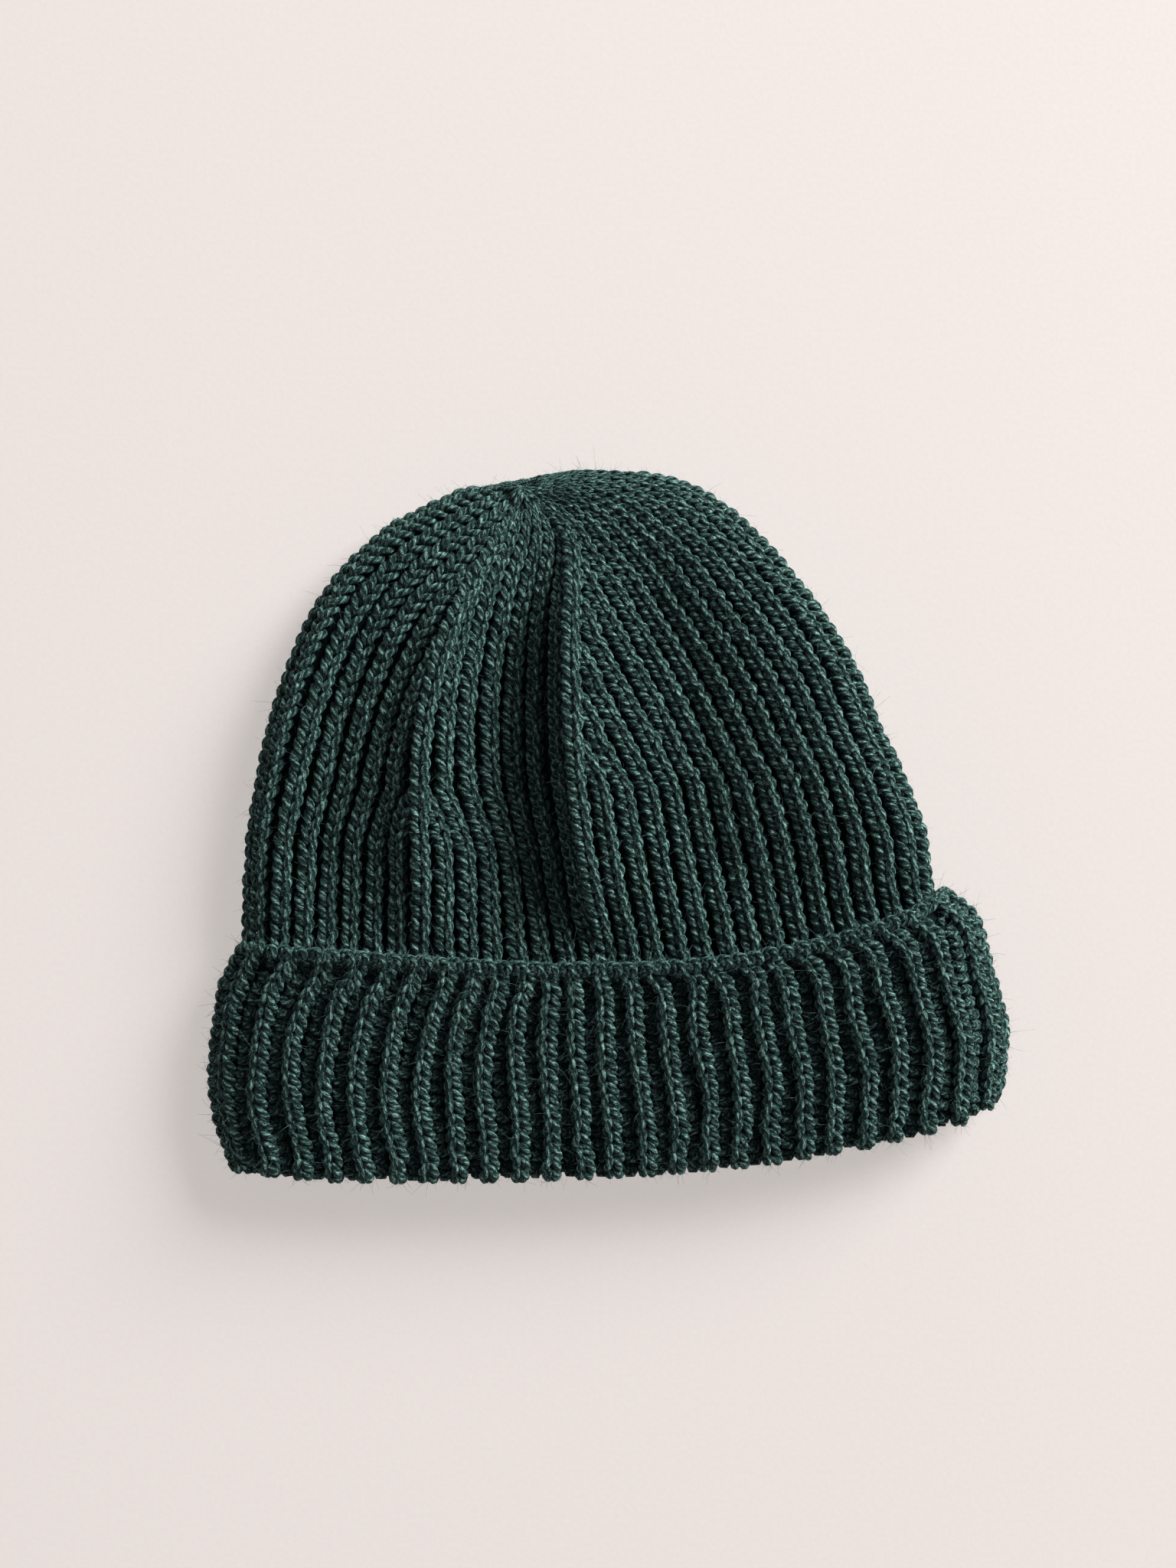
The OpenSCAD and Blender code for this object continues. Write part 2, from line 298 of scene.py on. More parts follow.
def cuff_row(u, s):
    """Place in the plane and height at u across row s. Below 0 the rows run down to the bottom fold at -1."""
    row = curve(CUFF_ROWS, np.maximum(s, 0))
    xy = mix(row[..., 0:2], row[..., 2:4], (u + 1) / 2)
    drop = row[..., 4] * bow(u) + np.minimum(s, 0) * (FOLD_BOW - FOLD_R - YARN_R) * bow(u)
    return np.stack([xy[..., 0], xy[..., 1] + drop], -1), row[..., 5]


def cuff_front_point(u, s, rise=0.0):
    """Point of the face of the cuff's front."""
    xy, top = cuff_row(u, s)
    arch = np.sqrt(np.clip(1 - np.abs(u) ** CUFF_SQUARENESS, 0, 1))
    z = CUFF_BASE + (top - CUFF_BASE + rise) * arch
    return np.concatenate([xy, z[..., None]], -1)


def cuff_back_point(u, s, z):
    """Point of the cuff's back, which lies flat at height z."""
    xy, _ = cuff_row(u, s)
    return np.concatenate([xy, np.full(xy.shape[:-1] + (1,), z)], -1)


# ---------------------------------------------------------------- courses: lines that stitches follow


class Course:
    """A line of stitches: its points, the outward normals, and the stitches' width, yarn radius and pitch.

    roll turns the stitches about the line. Without yarn_r the yarn gets thinner where the line is narrow.
    """

    def __init__(self, points, normals, width, pitch, roll=0.0, yarn_r=None):
        self.points = points
        self.length = np.concatenate([[0], np.cumsum(np.linalg.norm(np.diff(points, axis=0), axis=1))])
        tangent = unit(np.gradient(points, axis=0))
        normals = unit(normals - (normals * tangent).sum(1)[:, None] * tangent)
        across = np.cross(tangent, normals)
        self.normals = normals * math.cos(roll) + across * math.sin(roll)
        self.across = across * math.cos(roll) - normals * math.sin(roll)
        self.width = np.broadcast_to(width, len(points)).astype(float)
        if yarn_r is None:
            yarn_r = YARN_R * np.clip(self.width / (FULL_YARN_AT * WALE_W), LEAST_YARN, 1)
        self.radius = np.broadcast_to(yarn_r, len(points)).astype(float)
        self.pitch = pitch


def surface_course(point, q, v, width, pitch, roll=0.0, inward=False):
    """A course on a surface given as point(q, v), with its normal from a small step to either side."""
    points = point(q, v)
    side = point(q + SMALL, v) - point(q - SMALL, v)
    normals = unit(np.cross(side, np.gradient(points, axis=0)))
    return Course(points, -normals if inward else normals, width, pitch, roll)


# Half of a stitch as shares of its width, its pitch and its yarn radius; the other half mirrors it
HALF_LOOP = [(-0.04, -0.60, -1.1), (-0.09, -0.36, 0.1), (-0.18, -0.04, 0.95), (-0.29, 0.28, 0.9),
             (-0.37, 0.58, 0.05), (-0.31, 0.86, -0.9), (0.0, 1.0, -1.3)]
# The middle of the loop along its column
LOOP_MIDDLE = 0.2


def loop_line(rings):
    """The whole loop at some rings."""
    mirrored = [(-b, t, n) for b, t, n in reversed(HALF_LOOP[:-1])]
    whole = HALF_LOOP + mirrored
    return curve(whole, np.linspace(0, len(whole) - 1, rings))


def stitch_tubes(course, rings, upside_down=False):
    """Centre lines and radii of the stitches of one course."""
    total = course.length[-1]
    count = max(int(round(total / course.pitch)), 1)
    step = total / count
    line = loop_line(rings)
    along = -line[:, 1] if upside_down else line[:, 1]
    middle = (np.arange(count) + 0.5) * step
    middle = middle + rng.normal(0, PITCH_SPREAD * step, count)
    at = middle[:, None] + (along - LOOP_MIDDLE * np.sign(along.sum()))[None, :] * step
    at_inside = np.clip(at, 0, total)

    def sampled(values):
        """Values of the course at the places of the stitches' rings."""
        if values.ndim == 1:
            return np.interp(at_inside, course.length, values)
        return np.stack([np.interp(at_inside, course.length, values[:, k]) for k in range(3)], -1)

    width = sampled(course.width) * rng.normal(1, WIDTH_SPREAD, count)[:, None]
    radius = sampled(course.radius) * rng.normal(1, YARN_SPREAD, count)[:, None]
    lean = rng.normal(0, LEAN_SPREAD, count)[:, None]
    across = (line[:, 0] + lean * along) * width
    lift = line[:, 2] * radius + rng.normal(0, LIFT_SPREAD, count)[:, None]
    centres = sampled(course.points) + sampled(course.across) * across[..., None]
    centres = centres + sampled(course.normals) * lift[..., None]
    overrun = (at - at_inside)[..., None]
    tangent = unit(np.gradient(course.points, axis=0))
    centres = centres + sampled(tangent) * overrun
    return centres, radius


# ---------------------------------------------------------------- meshes

# A tube's cell in the layer for baking: its edge and its span, as shares of the cell
CELL_EDGE = 0.03
CELL_SPAN = 0.94
# A cloth's two faces in the same layer: where each starts, and their size
TOP_FACE = 0.01
BOTTOM_FACE = 0.51
FACE_EDGE = 0.05
FACE_W = 0.48
FACE_H = 0.9
# Length of yarn from which each tube takes its own start, so that no two look the same
YARN_RUN = 40
# Any direction that no tube runs in
OFF_AXIS = (0.31, 0.52, 0.79)


def sweep(centres, radius, sides):
    """Points of closed tubes round many centre lines at once."""
    tangent = unit(np.gradient(centres, axis=1))
    side = np.empty_like(centres)
    side[:, 0] = unit(np.cross(tangent[:, 0], OFF_AXIS))
    for r in range(1, centres.shape[1]):
        carried = side[:, r - 1]
        side[:, r] = unit(carried - (carried * tangent[:, r]).sum(-1)[:, None] * tangent[:, r])
    other = np.cross(tangent, side)
    angle = np.arange(sides) * 2 * np.pi / sides
    ring = side[:, :, None] * np.cos(angle)[:, None] + other[:, :, None] * np.sin(angle)[:, None]
    return centres[:, :, None] + ring * radius[:, :, None, None]


def tube_mesh(name, groups, material):
    """One mesh of closed yarn tubes. A group holds the centre lines, the radii and the sides of its tubes."""
    points, loops, starts, yarn_uv, cell_uv = [], [], [], [], []
    tubes = sum(len(centres) for centres, _, _ in groups)
    columns = math.ceil(math.sqrt(tubes))
    rows = math.ceil(tubes / columns)

    def cell_place(tube, along, around):
        """Place in the layer for baking, where each tube has a cell of its own."""
        return np.stack([(tube % columns + CELL_EDGE + CELL_SPAN * along) / columns,
                         (tube // columns + CELL_EDGE + CELL_SPAN * around) / rows], -1)

    first_point = 0
    first_tube = 0
    first_loop = 0
    for centres, radius, sides in groups:
        count, rings = centres.shape[:2]
        swept = sweep(centres, radius, sides)
        swept[..., 2] = np.maximum(swept[..., 2], 0)
        points.append(swept.reshape(-1, 3))
        run = np.linalg.norm(np.diff(centres, axis=1), axis=-1)
        run = np.concatenate([np.zeros((count, 1)), np.cumsum(run, 1)], 1)
        run = run + rng.uniform(0, YARN_RUN, count)[:, None]
        m, r, k = np.meshgrid(np.arange(count), np.arange(rings - 1), np.arange(sides), indexing="ij")
        corners = [(r, k, 0), (r, k, 1), (r + 1, k, 1), (r + 1, k, 0)]
        index = [first_point + (m * rings + rr) * sides + (kk + dk) % sides for rr, kk, dk in corners]
        quads = np.stack(index, -1).reshape(-1)
        loops.append(quads)
        starts.append(first_loop + np.arange(len(quads) // 4) * 4)
        first_loop += len(quads)
        yarn = [np.stack([run[m, rr], (kk + dk) / sides], -1) for rr, kk, dk in corners]
        yarn_uv.append(np.stack(yarn, -2).reshape(-1, 2))
        cell = [cell_place(first_tube + m, rr / (rings - 1), (kk + dk) / sides) for rr, kk, dk in corners]
        cell_uv.append(np.stack(cell, -2).reshape(-1, 2))
        for ring, order in ((0, -1), (rings - 1, 1)):
            m, k = np.meshgrid(np.arange(count), np.arange(sides)[::order], indexing="ij")
            loops.append((first_point + (m * rings + ring) * sides + k).reshape(-1))
            starts.append(first_loop + np.arange(count) * sides)
            first_loop += count * sides
            yarn_uv.append(np.stack([run[m, ring], k / sides], -1).reshape(-1, 2))
            cell_uv.append(cell_place(first_tube + m, ring / (rings - 1), k / sides).reshape(-1, 2))
        first_point += count * rings * sides
        first_tube += count
    return build_mesh(name, np.concatenate(points), np.concatenate(loops), np.concatenate(starts), material,
                      {"yarn": np.concatenate(yarn_uv), "OFBake": np.concatenate(cell_uv)})


def build_mesh(name, points, loops, starts, material, uv_layers):
    """A smooth mesh object of points in millimetres."""
    mesh = bpy.data.meshes.new(name)
    mesh.vertices.add(len(points))
    mesh.vertices.foreach_set("co", (points * MM).astype(np.float32).ravel())
    mesh.loops.add(len(loops))
    mesh.loops.foreach_set("vertex_index", loops.astype(np.int32))
    mesh.polygons.add(len(starts))
    mesh.polygons.foreach_set("loop_start", starts.astype(np.int32))
    mesh.update(calc_edges=True)
    mesh.polygons.foreach_set("use_smooth", np.ones(len(starts), bool))
    for layer, values in uv_layers.items():
        uv = mesh.uv_layers.new(name=layer)
        uv.data.foreach_set("uv", values.astype(np.float32).ravel())
    mesh.materials.append(material)
    mesh.validate()
    made = bpy.data.objects.new(name, mesh)
    bpy.context.scene.collection.objects.link(made)
    return made


def cloth(name, grid_top, grid_bottom, material):
    """A thin closed sheet between two grids of points."""
    rows, columns = grid_top.shape[:2]
    points = np.concatenate([grid_top.reshape(-1, 3), grid_bottom.reshape(-1, 3)])
    half = rows * columns

    def at(i, j):
        return i * columns + j

    def place(i, j, start):
        return j / (columns - 1) * FACE_W + start, i / (rows - 1) * FACE_H + FACE_EDGE

    quads, places = [], []
    for i in range(rows - 1):
        for j in range(columns - 1):
            square = [(i, j), (i, j + 1), (i + 1, j + 1), (i + 1, j)]
            quads.append([at(*c) for c in square])
            places.append([place(*c, TOP_FACE) for c in square])
            square.reverse()
            quads.append([at(*c) + half for c in square])
            places.append([place(*c, BOTTOM_FACE) for c in square])
    rim = [(0, j) for j in range(columns)] + [(i, columns - 1) for i in range(1, rows)]
    rim += [(rows - 1, j) for j in range(columns - 2, -1, -1)] + [(i, 0) for i in range(rows - 2, 0, -1)]
    for a, b in zip(rim, rim[1:] + rim[:1]):
        quads.append([at(*b), at(*a), at(*a) + half, at(*b) + half])
        places.append([(0.0, 0.0)] * 4)
    loops = np.array(quads).reshape(-1)
    uv = np.array(places).reshape(-1, 2)
    return build_mesh(name, points, loops, np.arange(len(quads)) * 4, material, {"OFBake": uv})


# ---------------------------------------------------------------- materials


def node_tools(name):
    """A new material, its shader and links, and a function that adds a node with its inputs and settings."""
    material = bpy.data.materials.new(name)
    material.use_nodes = True
    nodes, links = material.node_tree.nodes, material.node_tree.links
    shader = nodes["Principled BSDF"]

    def add(kind, inputs=(), **settings):
        made = nodes.new(kind)
        for key, value in settings.items():
            setattr(made, key, value)
        for key, value in dict(inputs).items():
            if isinstance(value, bpy.types.NodeSocket):
                links.new(value, made.inputs[key])
            else:
                made.inputs[key].default_value = value
        return made

    return material, shader, links, add


def ramp(add, factor, stops):
    """Colour that runs through stops of place and colour."""
    made = add("ShaderNodeValToRGB", {0: factor})
    elements = made.color_ramp.elements
    while len(elements) < len(stops):
        elements.new(0.5)
    for element, (place, colour) in zip(elements, stops):
        element.position = place
        element.color = (*colour, 1)
    return made.outputs["Color"]


def set_surface(shader, links, colour, roughness, specular):
    """Colour, roughness and gloss of a material."""
    links.new(colour, shader.inputs["Base Color"])
    shader.inputs["Roughness"].default_value = roughness
    shader.inputs["Specular IOR Level"].default_value = specular


def set_bump(shader, links, add, height, strength, depth):
    """Fine relief of a material, up to depth millimetres."""
    bump = add("ShaderNodeBump", {"Strength": strength, "Distance": depth * MM, "Height": height})
    links.new(bump.outputs["Normal"], shader.inputs["Normal"])


def yarn_material(name):
    """Plied yarn: twisted plies, fine fibres along them, uneven dye and a light sheen; its colour has painted
    shade between the plies and painted highlights on the fibres.
    """
    material, shader, links, add = node_tools(name)

    def maths(operation, *values):
        return add("ShaderNodeMath", dict(enumerate(values)), operation=operation).outputs[0]

    uv = add("ShaderNodeUVMap", uv_map="yarn").outputs["UV"]
    split = add("ShaderNodeSeparateXYZ", {0: uv})
    along, around = split.outputs["X"], split.outputs["Y"]
    ply_place = maths("MULTIPLY_ADD", around, PLIES, maths("MULTIPLY", along, 1 / PLY_PITCH))
    ply = maths("ABSOLUTE", maths("SINE", maths("MULTIPLY", ply_place, math.pi)))
    stretched = maths("MULTIPLY", along, 0.22)
    fibre_place = add("ShaderNodeCombineXYZ", {0: ply_place, 1: stretched, 2: around}).outputs[0]
    noise = {"Vector": fibre_place, "Detail": 3.0}
    strands = add("ShaderNodeTexNoise", {**noise, "Scale": 5.0, "Roughness": 0.6})
    fine = add("ShaderNodeTexNoise", {**noise, "Scale": 17.0, "Roughness": 0.65})
    place = add("ShaderNodeTexCoord").outputs["Object"]
    patches = add("ShaderNodeTexNoise", {"Vector": place, "Scale": 420.0, "Detail": 3.0})
    grain = maths("ADD", strands.outputs["Fac"], fine.outputs["Fac"])
    lit = maths("MULTIPLY_ADD", ply, 0.30, grain)
    shade = maths("MULTIPLY", maths("MULTIPLY_ADD", patches.outputs["Fac"], 0.45, lit), 0.5)
    # The ramp paints shade between the plies and highlights along the fibres into the yarn's colour
    colour = ramp(add, shade, [(0.62, YARN_PLY_SHADE), (0.735, MIDDLE_YARN), (0.85, YARN_FIBRE_HIGHLIGHT)])
    set_surface(shader, links, colour, roughness=0.75, specular=0.22)
    set_bump(shader, links, add, maths("MULTIPLY_ADD", grain, 0.7, ply), strength=0.9, depth=0.45)
    shader.inputs["Sheen Weight"].default_value = 0.3
    shader.inputs["Sheen Roughness"].default_value = 0.4
    shader.inputs["Sheen Tint"].default_value = (*YARN_SHEEN, 1)
    return material


def fibre_material():
    """Single loose fibres, coloured from the yarn's own colour up to its painted fibre highlight."""
    material, shader, links, add = node_tools("loose_fibre")
    place = add("ShaderNodeTexCoord").outputs["Object"]
    patches = add("ShaderNodeTexNoise", {"Vector": place, "Scale": 300.0, "Detail": 2.0}).outputs["Fac"]
    # Random patches between the yarn's own colour and its painted highlight
    colour = ramp(add, patches, [(0.3, MIDDLE_YARN), (0.75, YARN_FIBRE_HIGHLIGHT)])
    set_surface(shader, links, colour, roughness=0.7, specular=0.3)
    return material


def lining_material():
    """Purl ground between the ribs: dark yarn with a fine grain."""
    material, shader, links, add = node_tools("rib_lining")
    place = add("ShaderNodeTexCoord").outputs["Object"]
    fine = add("ShaderNodeTexNoise", {"Vector": place, "Scale": 900.0, "Detail": 4.0, "Roughness": 0.7})
    colour = ramp(add, fine.outputs["Fac"], [(0.35, DARK_GROUND), (0.75, LIGHT_GROUND)])
    set_surface(shader, links, colour, roughness=0.95, specular=0.1)
    set_bump(shader, links, add, fine.outputs["Fac"], strength=0.6, depth=0.5)
    return material


def floor_material():
    """Pale felt that shines a little by itself, which keeps the shadows on it weak."""
    material, shader, links, add = node_tools("pale_felt")
    place = add("ShaderNodeTexCoord").outputs["Object"]
    grain = add("ShaderNodeTexNoise", {"Vector": place, "Scale": 700.0, "Detail": 4.0})
    colour = ramp(add, grain.outputs["Fac"], [(0.3, DARK_FLOOR), (0.7, LIGHT_FLOOR)])
    set_surface(shader, links, colour, roughness=0.9, specular=0.2)
    set_bump(shader, links, add, grain.outputs["Fac"], strength=0.12, depth=0.3)
    shader.inputs["Emission Color"].default_value = (*FLOOR_SHINE, 1)
    shader.inputs["Emission Strength"].default_value = 0.54
    return material


# ---------------------------------------------------------------- wales of the body

# Stations at which the wales of a zone run into its decrease line, one after another
LEFT_MERGES = [4.3, 7.2, 8.4, 9.3]
MIDDLE_MERGES = [4.3, 8.6]
RIGHT_MERGES = [5.3, 6.1, 7.0, 7.87, 8.7]
# How many wale pitches each zone holds at the mouth
LEFT_PITCHES = 7.6
MIDDLE_PITCHES = 7.6
RIGHT_PITCHES = 13.9
# Stations over which a zone narrows before its first wale ends
LEAD_IN = 0.9
# How sharply a wale turns out of its decrease line, from 1 for straight
TURN_OUT = 1.6
# Turn of the right field's stitches about their course, towards the centre ridge
LEAN = math.radians(-20)
# Where the wales end at the crown, and those on the steep sides
END_STATION = 10.85
SIDE_END = 9.5
# How a course narrows towards the crown: by what share, from which station, over how many stations
NARROWING = (0.6, 8.0, 2.8)
SIDE_NARROWING = (0.5, 7.5, 2)
# From which station and over how many the ridges rise proud of the front, and the same for how they sink back
RIDGE_SHOWN = (2, 1.5, 8.5, 2)
# Places of the courses on the steep sides, as shares across the left and the right zone
LEFT_SIDE = 0.02
RIGHT_SIDE = 0.985
# The edge courses: how far inside the edge they run in yarn radii, how far above it, and how far up they face
EDGE_INSET = 1.2
EDGE_LIFT = 1
EDGE_FACING = 0.25
# Narrowest wale of the back, and how far across the back the wales reach
LEAST_BACK_W = 1.2
BACK_REACH = 0.985
# Points along a course of the body, of a ridge and of the back
WALE_POINTS = 220
RIDGE_POINTS = 260
BACK_POINTS = 160


def merged(v, merges):
    """How many wales have run into the line at station v."""
    counts = np.arange(len(merges) + 1)
    return np.interp(v, [merges[0] - LEAD_IN, *merges], counts)


def gap_between(left, right, v):
    """Distance between two lines of the body at each station."""
    return np.linalg.norm(curve(right, v) - curve(left, v), axis=1)


def front_course(zone, q, v, width, roll=0.0):
    """A course on the front at share q across a zone."""
    return surface_course(lambda q, v: front_point(zone, q, v), q, v, width, BODY_STITCH, roll)


def zone_wales(zone, pitches, merges, from_right, roll=0.0):
    """Courses of the wales of one zone. They are counted from the decrease line that they run into."""
    courses = []
    for k in range(1, int(pitches + 0.5)):
        end = merges[k - 1] if k <= len(merges) else END_STATION
        v = np.linspace(0, end, WALE_POINTS)
        gone = merged(v, merges)
        near = np.clip(k - gone, 0, 1)
        away = k - gone + (1 - (1 - near) ** TURN_OUT - near)
        share = np.clip(away / (pitches - gone), 0, 1)
        q = 1 - share if from_right else share
        gap = gap_between(LINES[zone], LINES[zone + 1], v) / (pitches - gone)
        width = np.minimum(WALE_W, WALE_FILL * gap) * (1 + wander(len(v), WALE_WANDER))
        courses.append(front_course(zone, q, v, width, roll))
    return courses


def narrowed(v, share, start, length):
    """Share of its width that a course keeps at station v."""
    return 1 - share * ease((v - start) / length)


def line_wale(zone, offset, rise):
    """A course along the decrease line where a zone starts, off to one side and standing proud by rise."""
    v = np.linspace(0, END_STATION, RIDGE_POINTS)
    shrink = narrowed(v, *NARROWING)
    course = front_course(zone, np.zeros(v.shape), v, WALE_W * shrink)
    proud = rise * rise_and_fall(v, *RIDGE_SHOWN)
    points = course.points + course.across * (offset * shrink)[:, None] + UP * proud[:, None]
    return Course(points, np.tile(UP, (len(v), 1)), course.width, BODY_STITCH)


def side_wale(zone, q):
    """The course on the steep side of the body, between its front and its edge."""
    v = np.linspace(0, SIDE_END, WALE_POINTS)
    return front_course(zone, np.full(v.shape, q), v, WALE_W * narrowed(v, *SIDE_NARROWING))


def edge_wale(edge, side):
    """The course along an edge of the body, which faces sideways."""
    v = np.linspace(0, END_STATION, WALE_POINTS)
    xy = curve(edge, v)
    along = np.gradient(xy, axis=0)
    outward = unit(np.stack([along[:, 1], -along[:, 0]], -1)) * side
    rise = curve(EDGE_RISE, v) + EDGE_LIFT
    points = np.concatenate([xy - outward * YARN_R * EDGE_INSET, rise[:, None]], -1)
    normals = np.concatenate([outward, np.full((len(v), 1), EDGE_FACING)], -1)
    return Course(points, normals, WALE_W * narrowed(v, *NARROWING), BODY_STITCH)


def back_wales(places):
    """Courses of the back, which run from the mouth to the crown at places across it."""
    v = np.linspace(0, END_STATION, BACK_POINTS)
    gap = gap_between(LEFT_EDGE, RIGHT_EDGE, v) / (BACK_WALES + 1)
    width = np.clip(WALE_FILL * gap, LEAST_BACK_W, WALE_W)
    return [surface_course(back_point, np.full(v.shape, u), v, width, BODY_STITCH, inward=True)
            for u in places]


# ---------------------------------------------------------------- wales of the cuff


def even_places(count):
    """Middles of equal parts from -1 to 1."""
    return -1 + 2 * (np.arange(count) + 0.5) / count


# How far across the cuff its fabric reaches, and the outermost rib and purl column on each side
CUFF_SIDE = 0.9985
SIDE_RIB = 0.9965
SIDE_PURL = 0.986
RIB_PLACES = np.concatenate([[-SIDE_RIB], even_places(CUFF_RIBS), [SIDE_RIB]])
PURL_PLACES = np.concatenate([[-SIDE_PURL], -1 + 2 * np.arange(1, CUFF_RIBS) / CUFF_RIBS, [SIDE_PURL]])
# How far the ribs of the left half lean in
RIB_LEAN = 0.2
# Rows at which the ribs end, in front and at the back, and the row of the chain with one just below it
RIB_END = CUFF_END - 0.12
BACK_RIB_END = CUFF_END - 0.15
CHAIN_ROW = CUFF_END - 0.05
BELOW_CHAIN = CUFF_END - 0.25
# The purl columns stop short of the cast-on chain and leave a dark hole below each arch
PURL_END = CUFF_END - 0.75
# The back of the cuff starts above the turning line, and is a little narrower than the front
BACK_RIB_START = 0.5
BACK_GROUND_START = 0.45
BACK_RIB_REACH = 0.98
BACK_CHAIN_REACH = 0.97
BACK_GROUND_REACH = 0.94
# Rows between which the fabric lies below the fold's face, on its way from the turning line to the bend
UNDER_START = 0.1
UNDER_END = -0.95
# How far the bend reaches out at the cuff's ends, how that grows with the bow, and how much less by depth
BEND_LEAST = 0.3
BEND_GROWTH = 2
BEND_BY_DEPTH = 0.15
# Beyond the first place a column has no bend, and beyond the second it does not stray to a side
BEND_REACH = 0.99
STRAY_REACH = 0.95
# Points of a column of the cuff: below the fold, round it, up the face, up the back, and along the chain
UNDER_POINTS = 10
BEND_POINTS = 15
FACE_POINTS = 80
BACK_FACE_POINTS = 70
CHAIN_POINTS = 400


def leaning(u, s):
    """Place of a rib at row s: on the left half the ribs lean in towards the free edge."""
    return u + RIB_LEAN * max(-u, 0) * (1 - u**2) * ease(s / CUFF_END)


def cuff_profile(u, depth, end=RIB_END):
    """Points and outward normals up the front of the cuff at place u, some depth below its face.

    They run from the turning line, below and round the bottom fold, then up the face to row end.
    """
    phi = math.asin(u)
    s = np.linspace(-1, end, FACE_POINTS)
    face = cuff_front_point(leaning(u, s), s, -depth)
    side = [cuff_front_point(leaning(math.sin(phi + d), s), s, -depth) for d in (-SMALL, SMALL)]
    face_normals = unit(np.cross(side[1] - side[0], np.gradient(face, axis=0)))
    height = (FOLD_R - depth / 2) * math.sqrt(max(1 - abs(u) ** CUFF_SQUARENESS, 0))
    down = unit((face[0] - face[1]) * np.array([1, 1, 0]))
    turn = np.linspace(np.pi, 0, BEND_POINTS + 1)[:-1, None]
    ahead = (FOLD_R - BEND_BY_DEPTH * depth) * min(1, BEND_LEAST + BEND_GROWTH * bow(u)) * down
    up = np.array([0, 0, height])
    bend = face[0] - up + np.sin(turn) * ahead + np.cos(turn) * up
    bend_normals = np.sin(turn) * down + np.cos(turn) * UP
    under, _ = cuff_row(np.full(UNDER_POINTS, u), np.linspace(UNDER_START, UNDER_END, UNDER_POINTS))
    under = np.concatenate([under, np.full((UNDER_POINTS, 1), face[0][2] - 2 * height)], -1)
    under_normals = np.tile(-UP, (UNDER_POINTS, 1))
    return np.concatenate([under, bend, face]), np.concatenate([under_normals, bend_normals, face_normals])


def cuff_front_course(u, width=CUFF_WALE_W, depth=0.0, end=RIB_END, inward=False):
    """A rib or a purl column of the front of the cuff. Beyond the ends of the fold only its face is left."""
    points, normals = cuff_profile(u, depth, end)
    if abs(u) > BEND_REACH:
        points = points[UNDER_POINTS + BEND_POINTS:]
        normals = normals[UNDER_POINTS + BEND_POINTS:]
    count = len(points)
    points = points + np.outer(wander(count, RIB_STRAY) * (abs(u) < STRAY_REACH), [1, 0, 0])
    width = width * (1 + wander(count, RIB_WANDER))
    return Course(points, -normals if inward else normals, width, CUFF_STITCH)


def cuff_back_course(u, up):
    """A rib or a purl column of the back of the cuff, which faces down or up."""
    s = np.linspace(BACK_RIB_START, BACK_RIB_END, BACK_FACE_POINTS)
    points = cuff_back_point(np.full(s.shape, u * BACK_RIB_REACH), s, BACK_CUFF_Z)
    normals = np.tile(UP if up else -UP, (len(s), 1))
    return Course(points, normals, CUFF_WALE_W, CUFF_STITCH, yarn_r=BACK_CUFF_YARN_R)


def edge_chain(point, z_side):
    """Course of the chain of cast-on stitches along the free edge of the cuff."""
    u = np.sin(np.linspace(-1, 1, CHAIN_POINTS) * math.asin(CUFF_SIDE))
    points = point(u, np.full(u.shape, CHAIN_ROW))
    up = points - point(u, np.full(u.shape, BELOW_CHAIN))
    normals = unit(np.cross(np.gradient(points, axis=0), up)) * z_side
    return Course(points, normals, CHAIN_W, CHAIN_STITCH)


# ---------------------------------------------------------------- dark ground and loose fibres


def front_lining():
    """Grids of the ground below the front's ribs: its upper and its lower face."""
    places = [(zone, q) for zone in (LEFT_ZONE, MIDDLE_ZONE, RIGHT_ZONE) for q in np.linspace(0, 1, 15)[:-1]]
    places = places[1:] + [(RIGHT_ZONE, RIGHT_SIDE)]
    v = np.linspace(0, END_STATION, 110)
    return [np.stack([front_point(zone, np.full(v.shape, q), v, -LINING_DEPTH - t) for zone, q in places], 1)
            for t in (0, LINING_T)]


def back_lining():
    """Grids of the ground above the back's ribs, inside the body."""
    v = np.linspace(0, END_STATION, 60)
    places = np.linspace(-0.975, 0.975, 30)
    return [np.stack([back_point(np.full(v.shape, u), v, LINING_DEPTH - BACK_GAP - t) for u in places], 1)
            for t in (0, LINING_T)]


def cuff_front_lining():
    """Grids of the ground below the ribs of the cuff's front."""
    places = np.sin(np.linspace(-1, 1, 60) * math.asin(CUFF_SIDE))
    return [np.stack([cuff_profile(u, CUFF_LINING_DEPTH + t)[0] for u in places], 1) for t in (0, LINING_T)]


def cuff_back_lining():
    """Grids of the ground in the middle of the cuff's back."""
    s = np.linspace(BACK_GROUND_START, BACK_RIB_END, 30)
    places = np.linspace(-BACK_GROUND_REACH, BACK_GROUND_REACH, 30)
    return [np.stack([cuff_back_point(np.full(s.shape, u), s, BACK_CUFF_Z + t) for u in places], 1)
            for t in (LINING_T / 2, -LINING_T / 2)]


